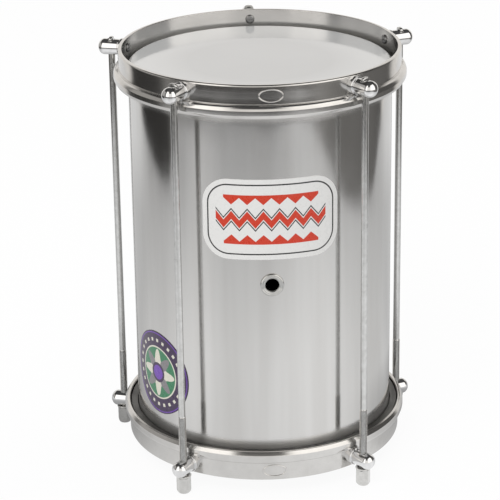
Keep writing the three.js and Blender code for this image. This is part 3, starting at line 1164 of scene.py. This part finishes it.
@dataclass
class Head(Maker):
    """A drum head: the film over the bearing edge, and the flesh hoop that holds its collar."""

    end: End
    film: float = 0.3 * MM
    roll_centre: float = 98.6 * MM
    roll_level: float = -3.6 * MM
    roll_radius: float = 3.6 * MM
    roll_steps: int = 8
    slope: float = math.radians(35)
    tuck_radius: float = 104.2 * MM
    tuck_level: float = -8.3 * MM
    ring_shares: Corner = (0.25, 0.5, 0.75)
    channel_inner: float = 102.3 * MM
    channel_outer_gap: float = 0.3 * MM
    channel_low: float = -10.9 * MM
    channel_floor: float = -10.3 * MM
    channel_top: float = -6.3 * MM
    groove_inner: float = 103.1 * MM
    groove_outer: float = 104.9 * MM
    soft: float = 0.3 * MM
    fine: float = 0.1 * MM

    def face(self, inset: float) -> list[Spot]:
        """One face of the film, from its middle over the roll to the end of the collar.

        Args:
            inset: How far the face lies under the film's outer face.

        Returns:
            Points of radius and height.
        """
        radius = self.roll_radius - inset
        steps = range(self.roll_steps + 1)
        bend = [math.pi / 2 + (self.slope - math.pi / 2) * step / self.roll_steps for step in steps]
        flat = [(self.roll_centre * share, -inset) for share in (0.0, *self.ring_shares)]
        centre, level = self.roll_centre, self.roll_level
        roll = [(centre + radius * math.cos(a), level + radius * math.sin(a)) for a in bend]
        end_radius = self.tuck_radius - inset
        leave_radius, leave_level = roll[-1]
        drop = (end_radius - leave_radius) / math.tan(self.slope)
        return [*flat, *roll, (end_radius, leave_level - drop), (end_radius, self.tuck_level)]

    def build(self) -> None:
        """Builds the film and the flesh hoop."""
        place = SIZES.placing(self.end, 0.0)
        outline = self.face(0.0) + self.face(self.film)[::-1]
        mesh = Draft().spin(outline, SIZES.ring_sides).make("film")
        mesh.transform(place)
        name = self.end.value
        self.add(f"{name}_film", mesh, self.finishes.film, "shell_body", [f"{name}_head_film"], "film")
        outer = SIZES.skirt_inner - self.channel_outer_gap
        ring = rounded(
            [
                (self.channel_inner, self.channel_low, self.soft),
                (outer, self.channel_low, 2 * self.soft),
                (outer, self.channel_top, self.soft),
                (self.groove_outer, self.channel_top, self.soft),
                (self.groove_outer, self.channel_floor, 0),
                (self.groove_inner, self.channel_floor, 0),
                (self.groove_inner, self.channel_top, self.fine),
                (self.channel_inner, self.channel_top, self.fine),
            ]
        )
        mesh = Draft().spin(ring, SIZES.ring_sides).make("flesh_hoop")
        mesh.transform(place)
        body = f"{name}_hoop_body"
        # Painted shade: the flesh hoop's near-black finish stands in for the shade deep in the gap.
        self.add(f"{name}_flesh_ring", mesh, self.finishes.mill_painted_shade, body, [f"{name}_flesh_hoop"], "flesh_hoop")


@dataclass
class Counterhoop(Maker):
    """A counterhoop: a straight band with an oval badge, a shoulder, and a skirt with a tapered edge.

    Each of the skirt's corners is an inset from its outside, a drop below the shoulder, and a round.
    """

    end: End
    wall: float = 3 * MM
    rim_round: float = 1.9 * MM
    soft: float = 0.5 * MM
    shoulder_level: float = -2.9 * MM
    skirt: tuple[Corner, ...] = (
        (4.4 * MM, 8.8 * MM, 0.4 * MM),
        (3.8 * MM, 9.9 * MM, 0.6 * MM),
        (1.8 * MM, 10.1 * MM, 0.5 * MM),
        (0.0, 7.3 * MM, 1.2 * MM),
        (0.0, 3.7 * MM, 0.6 * MM),
        (0.55 * MM, 2.1 * MM, 30 * MM),
        (1.3 * MM, 0.9 * MM, 30 * MM),
        (2.4 * MM, 0.15 * MM, 30 * MM),
    )
    ledge_level: float = -6 * MM
    screw_hole: float = 2.5 * MM
    hole_past: Spot = (8 * MM, 4 * MM)
    hole_sides: int = 24
    longest_run: float = 6 * MM
    bend_steps: int = 8
    badge_half_width: float = 9.5 * MM
    badge_half_height: float = 5.3 * MM
    badge_ridge: float = 1.3 * MM
    badge_rise: float = 0.5 * MM
    badge_sink: float = 0.6 * MM
    badge_turns: int = 72
    badge_steps: int = 9

    def section(self) -> list[Spot]:
        """The hoop's section, rounded.

        Returns:
            Points of radius and height.
        """
        band = SIZES.hoop_radius
        inner = band - self.wall
        skirt = [
            (SIZES.skirt_radius - inset, self.shoulder_level - drop, bend) for inset, drop, bend in self.skirt
        ]
        return rounded(
            [
                *skirt,
                (band, self.shoulder_level, self.soft),
                (band, SIZES.rim_level, self.rim_round),
                (inner, SIZES.rim_level, self.soft),
                (inner, self.ledge_level, self.soft),
                (SIZES.skirt_inner, self.ledge_level, self.soft),
            ],
            self.bend_steps,
        )

    def badge(self) -> bpy.types.Mesh:
        """The raised oval on the band's front, a ridge with a round back.

        Returns:
            The mesh.
        """
        ridge = []
        for step in range(self.badge_steps + 1):
            offset = step / self.badge_steps - 0.5
            ridge.append((offset, self.badge_rise * math.sqrt(max(0.0, 1 - (2 * offset) ** 2))))
        ridge += [(0.5, -self.badge_sink), (-0.5, -self.badge_sink)]
        loops = []
        for turn in range(self.badge_turns):
            angle = 2 * math.pi * turn / self.badge_turns
            row = []
            for offset, rise in ridge:
                inset = (offset - 0.5) * self.badge_ridge
                azimuth = (self.badge_half_width + inset) * math.cos(angle) / SIZES.hoop_radius
                level = SIZES.post_level + (self.badge_half_height + inset) * math.sin(angle)
                radius = SIZES.hoop_radius + rise
                row.append(Vector((radius * math.sin(azimuth), -radius * math.cos(azimuth), level)))
            loops.append(row)
        return Draft().grid(loops, True, True).make("badge")

    def build(self) -> None:
        """Builds the hoop with its screw holes and badge."""
        ring = Draft().spin(stepped(self.section(), self.longest_run), SIZES.ring_sides).make("hoop")
        inward, outward = self.hole_past
        bar = bar_outline(self.screw_hole, SIZES.hoop_radius - inward, SIZES.hoop_radius + outward)
        holes = []
        for azimuth in SIZES.azimuths():
            hole = outward_bar(bar, self.hole_sides, SIZES.post_level, "hole")
            hole.transform(Matrix.Rotation(azimuth, 4, "Z"))
            holes.append(hole)
        mesh = cut(ring, holes)
        work = bmesh.new()
        work.from_mesh(mesh)
        work.from_mesh(self.badge())
        work.to_mesh(mesh)
        work.free()
        soften(mesh)
        mesh.transform(SIZES.placing(self.end, 0.0))
        name = self.end.value
        body, nodes = f"{name}_hoop_body", [f"{name}_hoop"]
        self.add(f"{name}_counterhoop", mesh, self.finishes.hoop, body, nodes, "hoop")


@dataclass
class LugPosts(Maker):
    """The lug posts of one end, each with the screw that holds it."""

    end: End
    radius: float = 6.3 * MM
    sides: int = 64
    tip: float = 129.41 * MM
    dome: float = 5.2 * MM
    dome_steps: int = 14
    foot_sink: float = 0.6 * MM
    collar: float = 6.95 * MM
    collar_face: float = 111.4 * MM
    collar_round: float = 0.7 * MM
    neck: float = 5.9 * MM
    neck_end: float = 112.5 * MM
    neck_round: float = 0.15 * MM
    shoulder: float = 0.5 * MM
    shoulder_round: float = 0.4 * MM
    rod_hole_top: float = 2.95 * MM
    rod_hole_bottom: float = 3.3 * MM
    rod_hole_sides: int = 32
    slot_half: float = 1.5 * MM
    slot_drop: float = 1.8 * MM
    washer_seat: float = 6.3 * MM
    washer_drop: float = 0.6 * MM
    cut_past: float = 20 * MM
    cut_above: float = 30 * MM
    screw_sink: float = 3 * MM
    screw_head: float = 3.7 * MM
    screw_flat_share: float = 0.75
    screw_rise: float = 1.5 * MM
    screw_edge: float = 0.7 * MM
    screw_rounds: Corner = (1.4 * MM, 0.8 * MM, 0.3 * MM)
    screw_shank: float = 2.2 * MM
    screw_tip: float = 114.4 * MM
    screw_sides: int = 40
    screw_bend_steps: int = 6
    screw_slot_depth: float = 1.0 * MM
    screw_slot_half: float = 0.55 * MM
    screw_slot_past: Spot = (10 * MM, 5 * MM)

    def bore(self, radius: float, low: float, sides: int) -> bpy.types.Mesh:
        """What a drill takes out of a post from above, where the rod goes through.

        Args:
            radius: The hole's radius.
            low: Where it ends.
            sides: How many steps make up a turn.

        Returns:
            The mesh to cut with.
        """
        mesh = Draft().spin(bar_outline(radius, low, self.cut_above), sides).make("bore")
        mesh.transform(SIZES.at_rod(0.0))
        return mesh

    def post(self) -> bpy.types.Mesh:
        """One post, drawn at the front of its end.

        Returns:
            The mesh.
        """
        foot = SIZES.hoop_radius - self.foot_sink
        body = rounded(
            [
                (0, foot, 0),
                (self.collar, foot, 0),
                (self.collar, self.collar_face, self.collar_round),
                (self.neck, self.collar_face, self.neck_round),
                (self.neck, self.neck_end, self.neck_round),
                (self.radius, self.neck_end + self.shoulder, self.shoulder_round),
            ]
        )
        dome_start = self.tip - self.dome
        angles = [math.pi / 2 * step / self.dome_steps for step in range(self.dome_steps)]
        body += [(self.radius * math.cos(a), dome_start + self.dome * math.sin(a)) for a in angles]
        body.append((0, self.tip))
        mesh = outward_bar(body, self.sides, SIZES.post_level, "post")
        top = SIZES.post_level + self.radius
        if self.end is End.BOTTOM:
            through = self.bore(self.rod_hole_bottom, -self.cut_past, self.rod_hole_sides)
            return cut(mesh, [through, self.bore(self.washer_seat, top - self.washer_drop, self.sides)])
        low = Vector((-self.cut_past, -SIZES.rod_circle - self.slot_half, top - self.slot_drop))
        high = Vector((self.cut_past, -SIZES.rod_circle + self.slot_half, self.cut_above))
        through = self.bore(self.rod_hole_top, -self.cut_past, self.rod_hole_sides)
        return cut(mesh, [through, box_mesh(low, high)])

    def screw(self) -> bpy.types.Mesh:
        """One screw, its slotted head inside the band.

        Returns:
            The mesh.
        """
        seat = SIZES.hoop_radius - self.screw_sink
        crown = seat - self.screw_rise
        crown_round, edge_round, tip_round = self.screw_rounds
        body = rounded(
            [
                (0, crown, 0),
                (self.screw_head * self.screw_flat_share, crown, crown_round),
                (self.screw_head, seat - self.screw_edge, edge_round),
                (self.screw_head, seat, 0),
                (self.screw_shank, seat, 0),
                (self.screw_shank, self.screw_tip, tip_round),
                (0, self.screw_tip, 0),
            ],
            self.screw_bend_steps,
        )
        mesh = outward_bar(body, self.screw_sides, SIZES.post_level, "screw")
        across, inward = self.screw_slot_past
        low = Vector((-across, -crown - self.screw_slot_depth, SIZES.post_level - self.screw_slot_half))
        high = Vector((across, -crown + inward, SIZES.post_level + self.screw_slot_half))
        return cut(mesh, [box_mesh(low, high)])

    def build(self) -> None:
        """Builds the five posts and screws of this end."""
        post, screw = self.post(), self.screw()
        name = self.end.value
        for index, azimuth in enumerate(SIZES.azimuths(), 1):
            place = SIZES.placing(self.end, azimuth)
            for mesh, piece, node, finish in (
                (post, "lug", "post", self.finishes.chrome),
                # The screws' dark steel is partly painted shade for their place inside the band.
                (screw, "lug_screw", "post_screw", self.finishes.steel_painted_shade),
            ):
                copy = mesh.copy()
                copy.transform(place)
                nodes = [f"{name}_{node}_{index}"]
                self.add(f"{name}_{piece}_{index}", copy, finish, f"{name}_hoop_body", nodes, "fittings")


@dataclass
class TensionRods(Maker):
    """The long rods: a struck T head in the upper post's slot, a plain shaft, and a rolled thread.

    A tooth is pairs of a share of the pitch and a share of the ridge's height. A spot on the neck is
    half its width and its height over the head's floor. A layer of the head is a share of half its
    thickness and how large its outline is there.
    """

    shaft: float = 2.65 * MM
    crest: float = 3.0 * MM
    root: float = 2.5 * MM
    pitch: float = 1.0 * MM
    tooth: tuple[Spot, ...] = ((0.0, 0), (0.12, 0), (0.44, 1), (0.62, 1))
    run_out_turns: float = 1.5
    start_lead: float = 0.2 * MM
    bottom: float = -314.4 * MM
    bottom_bevel: float = 0.5 * MM
    thread_top: float = -253.2 * MM
    swell_start: float = 0.6 * MM
    swell_end: float = 0.1 * MM
    shaft_end: float = 9.0 * MM
    shaft_round: float = 0.3 * MM
    head_floor: float = 8.75 * MM
    head_top: float = 12.2 * MM
    head_half_width: float = 3.7 * MM
    head_half_thickness: float = 1.2 * MM
    head_spring: float = 1.3 * MM
    head_edge: float = 1.1 * MM
    head_edge_round: float = 0.5 * MM
    head_fullness: float = 0.7
    head_steps: int = 7
    neck: tuple[Spot, ...] = ((2.3 * MM, -2.2 * MM), (2.5 * MM, 0))
    neck_round: float = 0.3 * MM
    layers: tuple[Spot, ...] = (
        (-1.0, 0.0), (-1.0, 0.80), (-0.94, 0.90), (-0.7, 0.97),
        (0.7, 0.97), (0.94, 0.90), (1.0, 0.80), (1.0, 0.0),
    )
    sides: int = 24
    sharp_degrees: float = 40

    def reach(self, height: float, ridge: float) -> float:
        """The thread's radius at a height, with the ridge fading in at the foot and out at the shaft.

        Args:
            height: The height.
            ridge: The share of the ridge that stands there on a full thread.

        Returns:
            The radius.
        """
        run_out = self.run_out_turns * self.pitch
        left = (self.thread_top - height) / run_out
        fade = max(0.0, min(1.0, left, (height - self.bottom + self.start_lead) / run_out))
        swell = (self.shaft - self.root) * max(0.0, 1 - left) * (1 - fade)
        return self.root + (self.crest - self.root) * ridge * fade + swell

    def thread(self, draft: Draft) -> None:
        """Adds the thread as one sheared grid, so that its ridge winds unbroken.

        Args:
            draft: The rod's draft.
        """
        turns = math.ceil((self.thread_top - self.bottom) / self.pitch) + 2
        rows = []
        for turn in range(-2, turns):
            for share, ridge in self.tooth:
                row = []
                for side in range(self.sides + 1):
                    angle = 2 * math.pi * side / self.sides
                    height = self.bottom + (turn + share + side / self.sides) * self.pitch
                    held = min(max(height, self.bottom), self.thread_top)
                    reach = self.reach(held, ridge)
                    row.append(Vector((reach * math.cos(angle), reach * math.sin(angle), held)))
                rows.append(row)
        draft.grid(rows, False, False)

    def head(self, draft: Draft) -> None:
        """Adds the flat head: a neck, two square edges and a domed top.

        Args:
            draft: The rod's draft.
        """
        half, top, floor = self.head_half_width, self.head_top, self.head_floor
        spring = floor + self.head_spring
        turns = [math.pi / 2 * step / self.head_steps for step in range(self.head_steps)]
        rise = top - spring
        dome = [(half * math.cos(a) ** self.head_fullness, spring + rise * math.sin(a), 0) for a in turns]
        (foot, foot_level), (throat, throat_level) = self.neck
        right = [
            (foot, floor + foot_level, 0),
            (throat, floor + throat_level, self.neck_round),
            (half, floor + self.head_edge, self.head_edge_round),
            *dome,
        ]
        left = [(-x, z, bend) for x, z, bend in right[::-1]]
        outline = rounded([left[-1], *right, *left[:-1]])
        middle = Vector((0, (floor + top) / 2))
        rows = []
        for depth, size in self.layers:
            spots = [middle.lerp(Vector(point), size) for point in outline]
            rows.append([Vector((spot.x, depth * self.head_half_thickness, spot.y)) for spot in spots])
        draft.grid(rows, False, True)

    def rod(self) -> bpy.types.Mesh:
        """One rod, drawn on the drum's axis.

        Returns:
            The mesh.
        """
        draft = Draft()
        self.thread(draft)
        shaft = rounded(
            [
                (0, self.bottom, 0),
                (self.root - self.bottom_bevel, self.bottom, 0),
                (self.root, self.bottom + self.bottom_bevel, 0),
                (self.root, self.thread_top - self.swell_start, 0),
                (self.shaft, self.thread_top - self.swell_end, 0),
                (self.shaft, self.shaft_end, self.shaft_round),
                (0, self.shaft_end, 0),
            ]
        )
        draft.spin(shaft, self.sides)
        self.head(draft)
        return draft.make("rod", self.sharp_degrees)

    def build(self) -> None:
        """Builds the five rods."""
        base = self.rod()
        for index, azimuth in enumerate(SIZES.azimuths(), 1):
            mesh = base.copy()
            mesh.transform(SIZES.at_rod(azimuth))
            nodes = [f"tension_rod_{index}"]
            self.add(f"rod_{index}", mesh, self.finishes.rod, "top_hoop_body", nodes, "rods")


@dataclass
class TuningNuts(Maker):
    """The long hexagon nuts under the drum, and the washers that they bear on."""

    apothem: float = 5 * MM
    corner: float = 5.65 * MM
    past_corner: float = 5.9 * MM
    end_radius: float = 4.3 * MM
    end_round: float = 0.4 * MM
    end_slope: Corner = (5.3 * MM, 1.3 * MM, 0.8 * MM)
    slope_height: float = 2.4 * MM
    top_radius: float = 4.8 * MM
    top_bevel: float = 0.3 * MM
    bore: float = 3.3 * MM
    bore_bevel: Spot = (0.4 * MM, 0.5 * MM)
    top: float = -304.7 * MM
    bottom: float = -318.0 * MM
    longest_run: float = 1.5 * MM
    nut_sides: int = 96
    nut_sharp_degrees: float = 28
    washer_sides: int = 48
    washer_radius: float = 6 * MM
    washer_top: float = -303.2 * MM
    washer_thickness: float = 1.2 * MM
    soft: float = 0.3 * MM
    fine: float = 0.1 * MM

    def hexagon(self, angle: float) -> float:
        """The nut's largest radius at an angle, with its corners rounded.

        Args:
            angle: The angle about the nut's axis.

        Returns:
            The radius.
        """
        sixth = math.pi / 3
        turned = (angle + sixth / 2) % sixth - sixth / 2
        return min(self.apothem / math.cos(turned), self.corner)

    def nut(self) -> bpy.types.Mesh:
        """One nut, drawn on the drum's axis.

        Returns:
            The mesh.
        """
        widening, deepening = self.bore_bevel
        slope_radius, slope_level, slope_round = self.end_slope
        outline = rounded(
            [
                (self.bore, self.bottom + deepening, 0),
                (self.bore + widening, self.bottom, self.fine),
                (self.end_radius, self.bottom, self.end_round),
                (slope_radius, self.bottom + slope_level, slope_round),
                (self.past_corner, self.bottom + self.slope_height, self.soft),
                (self.past_corner, self.top - self.top_bevel, self.fine),
                (self.top_radius, self.top, self.fine),
                (self.bore + widening, self.top, self.fine),
                (self.bore, self.top - deepening, 0),
            ]
        )
        draft = Draft().spin(stepped(outline, self.longest_run), self.nut_sides, self.hexagon)
        return draft.make("nut", self.nut_sharp_degrees)

    def washer(self) -> bpy.types.Mesh:
        """One washer, drawn on the drum's axis.

        Returns:
            The mesh.
        """
        low = self.washer_top - self.washer_thickness
        disc = rounded(
            [
                (self.bore, low, self.fine),
                (self.washer_radius, low, self.soft),
                (self.washer_radius, self.washer_top, self.soft),
                (self.bore, self.washer_top, self.fine),
            ]
        )
        return Draft().spin(disc, self.washer_sides).make("washer")

    def build(self) -> None:
        """Builds the nuts and washers."""
        nut, washer = self.nut(), self.washer()
        for index, azimuth in enumerate(SIZES.azimuths(), 1):
            for mesh, piece, body, node in (
                (nut, "nut", f"nut_{index}_body", "tuning_nut"),
                (washer, "washer", "bottom_hoop_body", "nut_washer"),
            ):
                copy = mesh.copy()
                copy.transform(SIZES.at_rod(azimuth))
                self.add(f"{piece}_{index}", copy, self.finishes.nut, body, [f"{node}_{index}"], "nuts")


@dataclass
class Studio:
    """The floor, the room that the metal mirrors, the lamps and the camera.

    The table's corners are metres across and back from the drum's axis. A ring of light is pairs of
    azimuth in degrees and level. Its rise, over and top are ranges of a mirrored ray's upward part,
    from the walls to the softboxes, to the upper walls and to the ceiling.
    """

    finishes: Finishes
    floor_level: float = -318.2 * MM
    floor_drop: float = 0.4 * MM
    floor_reach: float = 8.0
    table: tuple[Spot, ...] = (
        (-0.8, 3.0), (-0.8, 0.3), (-0.775, 0.08), (-0.775, -0.05), (-1.0, -0.16),
        (-0.97, -0.36), (-0.82, -0.7), (-0.58, -0.93), (-0.18, -1.04), (0.16, -1.03),
        (0.5, -1.08), (0.63, -0.85), (0.69, -0.64), (0.7, -0.49), (0.68, -0.33),
        (0.69, 0.1), (0.69, 0.17), (0.79, 0.37), (0.8, 0.46), (0.8, 3.0),
    )
    walls: Stops = (
        (-180, 0.9), (-134, 0.9), (-128, 0.04), (-92, 0.05), (-82, 0.30),
        (-70, 0.11), (-60, 0.035), (14, 0.035), (30, 0.12), (44, 0.27),
        (60, 0.20), (112, 0.16), (124, 0.10), (129, 0.9), (180, 0.9),
    )
    softboxes: Stops = (
        (-180, 0.95), (-134, 0.9), (-127, 0.10), (-120, 0.45), (-82, 0.45), (-74, 0.05),
        (-67, 0.05), (-62, 1.6), (-34, 1.6), (-28, 1.0), (12, 1.0), (22, 1.5),
        (76, 1.5), (81, 0.10), (124, 0.10), (129, 0.9), (180, 0.95),
    )
    upper_walls: Stops = (
        (-180, 0.05), (-67, 0.05), (-62, 1.6), (-34, 1.6), (-28, 0.08),
        (12, 0.10), (22, 1.6), (76, 1.6), (81, 0.05), (180, 0.05),
    )
    ceiling: Colour = (0.07, 0.07, 0.07, 1)
    sky: Colour = (0.88, 0.88, 0.88, 1)
    warmth: Corner = (1, 0.97, 0.93)
    rise: Spot = (-0.18, -0.08)
    over: Spot = (0.52, 0.60)
    top: Spot = (0.77, 0.84)
    key_place: Corner = (-0.8, -1.5, 1.6)
    key_power: float = 24.0
    fill_place: Corner = (1.1, 0.5, 1.9)
    fill_power: float = 9.0
    lamp_side: float = 1.2
    lamp_target: Corner = (0, 0, -0.15)
    camera_place: Corner = (-0.1169, -1.6211, 0.4672)
    heading: float = 0.0661
    pitch: float = 0.3664
    roll: float = -0.0141
    film_width: float = 36
    lens_pixels: float = 2193.3
    picture_pixels: float = 500
    clip: Spot = (0.05, 50)

    def hang(self, name: str, data: bpy.types.ID) -> bpy.types.Object:
        """Puts something in the scene.

        Args:
            name: The object's name.
            data: Its mesh, lamp or camera.

        Returns:
            The object.
        """
        hung = bpy.data.objects.new(name, data)
        bpy.context.scene.collection.objects.link(hung)
        return hung

    def floor(self) -> None:
        """Lays the floor: the part that metal mirrors, and the rest, which it doesn't."""
        reach = self.floor_reach
        around = ((-reach, -reach), (reach, -reach), (reach, reach), (-reach, reach))
        under = self.floor_level - self.floor_drop
        for name, outline, level in (("floor", around, under), ("table", self.table, self.floor_level)):
            mesh = bpy.data.meshes.new(name)
            mesh.from_pydata([(x, y, level) for x, y in outline], [], [tuple(range(len(outline)))])
            mesh.materials.append(self.finishes.floor)
            piece = self.hang("stage_" + name, mesh)
            piece.visible_glossy = name == "table"

    def room(self) -> None:
        """Sets the world: white for the camera, plain soft light, and a room for metal to mirror."""
        world = bpy.data.worlds.new("room")
        bpy.context.scene.world = world
        bench = Bench(world)
        x, y, z = bench.parts(bench.node("TexCoord", {}).outputs["Generated"])
        share = bench.turn_share(x, y)
        mirrored, middle, high = (
            bench.ring(share, stops, self.warmth) for stops in (self.walls, self.softboxes, self.upper_walls)
        )
        for limits, colour in ((self.rise, middle), (self.over, high), (self.top, self.ceiling)):
            mirrored = bench.blend(bench.remap(z, *limits), mirrored, colour)
        rays = bench.node("LightPath", {}).outputs
        plain = bench.blend(rays["Is Glossy Ray"], self.sky, mirrored)
        seen = bench.math("MAXIMUM", rays["Is Camera Ray"], rays["Is Transmission Ray"])
        light = bench.node("Background", {0: bench.blend(seen, plain, WHITE), 1: 1.0})
        bench.node("OutputWorld", {0: light.outputs[0]})

    def lamp(self, name: str, place: Vector, power: float) -> None:
        """Hangs one soft square lamp that points at the drum.

        Args:
            name: The lamp's name.
            place: Where it hangs.
            power: Its power in watts.
        """
        light = bpy.data.lights.new(name, "AREA")
        light.shape = "SQUARE"
        light.size = self.lamp_side
        light.energy = power
        hung = self.hang(name, light)
        hung.location = place
        hung.rotation_mode = "QUATERNION"
        hung.rotation_quaternion = (Vector(self.lamp_target) - place).to_track_quat("-Z", "Y")
        hung.visible_glossy = False

    def camera(self) -> None:
        """Sets the camera where the photograph was taken from, by a fit to its outlines."""
        flat = math.cos(self.pitch)
        ahead = Vector((math.sin(self.heading) * flat, math.cos(self.heading) * flat, -math.sin(self.pitch)))
        right = ahead.cross(Vector((0, 0, 1))).normalized()
        above = right.cross(ahead)
        rolled_right = right * math.cos(self.roll) + above * math.sin(self.roll)
        rolled_above = above * math.cos(self.roll) - right * math.sin(self.roll)
        data = bpy.data.cameras.new("camera")
        data.sensor_width = self.film_width
        data.lens = self.lens_pixels * self.film_width / self.picture_pixels
        data.clip_start, data.clip_end = self.clip
        holder = self.hang("camera", data)
        turn = Matrix((rolled_right, rolled_above, -ahead)).transposed()
        holder.matrix_world = Matrix.Translation(self.camera_place) @ turn.to_4x4()
        bpy.context.scene.camera = holder

    def build(self) -> None:
        """Sets up everything round the drum."""
        self.floor()
        self.room()
        self.lamp("key", Vector(self.key_place), self.key_power)
        self.lamp("fill", Vector(self.fill_place), self.fill_power)
        self.camera()
        bpy.context.scene.view_settings.view_transform = "Standard"


def main() -> None:
    """Builds the drum and the studio."""
    logging.basicConfig(level=logging.INFO, format="%(message)s")
    finishes = Finishes()
    Shell(finishes).build()
    Vent(finishes).build()
    Labels(finishes).build()
    for end in End:
        Head(finishes, end).build()
        Counterhoop(finishes, end).build()
        LugPosts(finishes, end).build()
    TensionRods(finishes).build()
    TuningNuts(finishes).build()
    Studio(finishes).build()


if __name__ == "__main__":
    main()
